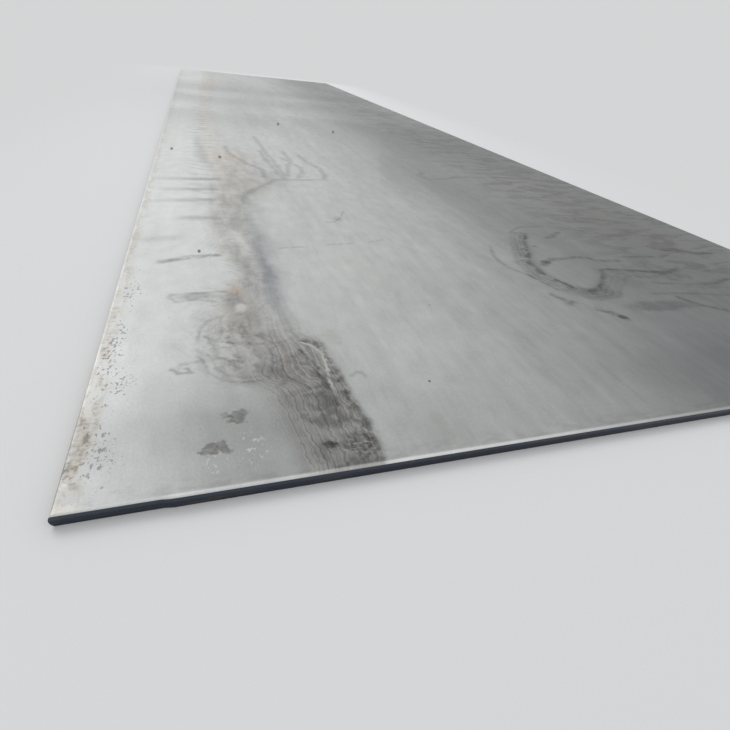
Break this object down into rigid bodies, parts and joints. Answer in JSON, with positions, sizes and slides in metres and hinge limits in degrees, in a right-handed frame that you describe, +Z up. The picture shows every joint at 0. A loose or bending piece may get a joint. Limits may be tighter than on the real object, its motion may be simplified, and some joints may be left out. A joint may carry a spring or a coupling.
{
  "type": "steel plate",
  "caption": "Flat rectangular hot-rolled steel plate with rounded mill edges along its length and guillotine-sheared ends, stock for cutting, bending and welding.",
  "frame": {"origin": "middle of the bottom face, on the floor that the plate lies on", "axes": "+X across the width, +Y along the length from the near sheared end to the far one, +Z up through the thickness"},
  "size_m": [2.2, 8, 0.02],
  "materials": {
    "mill_scale": "thin grey mill scale with a soft sheen and faint roll streaks along the length, brown-grey water tide marks, scattered dark pits and rust near the long edges, dark blue-grey cut ends"
  },
  "bodies": {
    "root": {"steel_plate": "mill_scale"}
  },
  "joints": []
}
